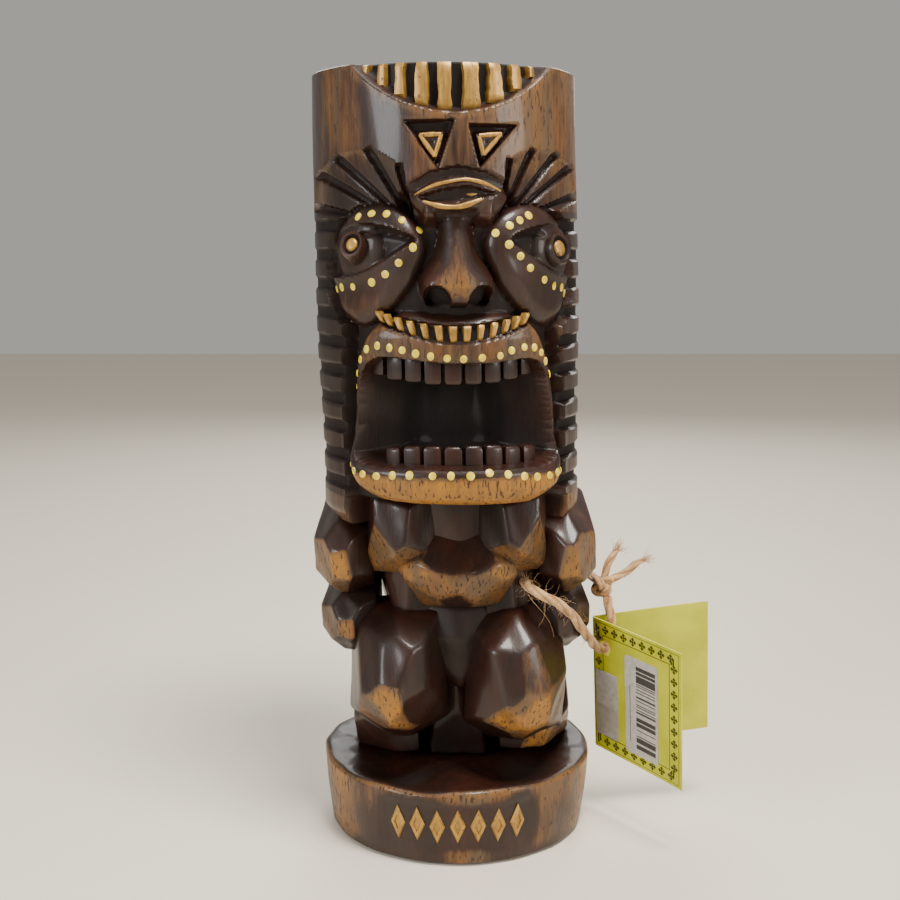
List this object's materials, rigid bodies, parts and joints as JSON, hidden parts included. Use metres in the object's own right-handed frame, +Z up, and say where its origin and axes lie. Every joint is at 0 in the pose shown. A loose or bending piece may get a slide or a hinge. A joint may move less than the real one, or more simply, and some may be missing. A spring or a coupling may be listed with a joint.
{
  "type": "carved tiki figure",
  "caption": "Wooden tiki figure carved from a log, with large head, open mouth and round base, and a folded card tag tied to one arm with jute twine.",
  "frame": {"origin": "centre of the base's round underside, on the surface it stands on", "axes": "+Z up along the log, the figure looks along -Y, +X to the viewer's right"},
  "size_m": [0.1107, 0.0752, 0.203],
  "materials": {
    "stained_wood": "satin",
    "jute": "matte",
    "card": "satin",
    "label_paper": "matte"
  },
  "bodies": {
    "figure": {"carved_figure": "stained_wood", "twine_loop": "jute", "twine_knot": "jute", "twine_tail_long": "jute", "twine_tail_short": "jute"},
    "tag_front": {"tag_front_leaf": "card", "code_label": "label_paper", "date_label": "label_paper"},
    "tag_back": {"tag_back_leaf": "card"}
  },
  "joints": [
    {"name": "tag_turn", "type": "hinge", "parent": "figure", "child": "tag_front", "pos_m": [0.0406, -0.0077, 0.05], "axis": [0, 0, 1], "range_deg": [-15, 8]},
    {"name": "tag_fold", "type": "hinge", "parent": "tag_front", "child": "tag_back", "pos_m": [0.0383, -0.0023, 0.0388], "axis": [-0.0489, -0.1106, 0.9927], "range_deg": [-12, 75]}
  ]
}
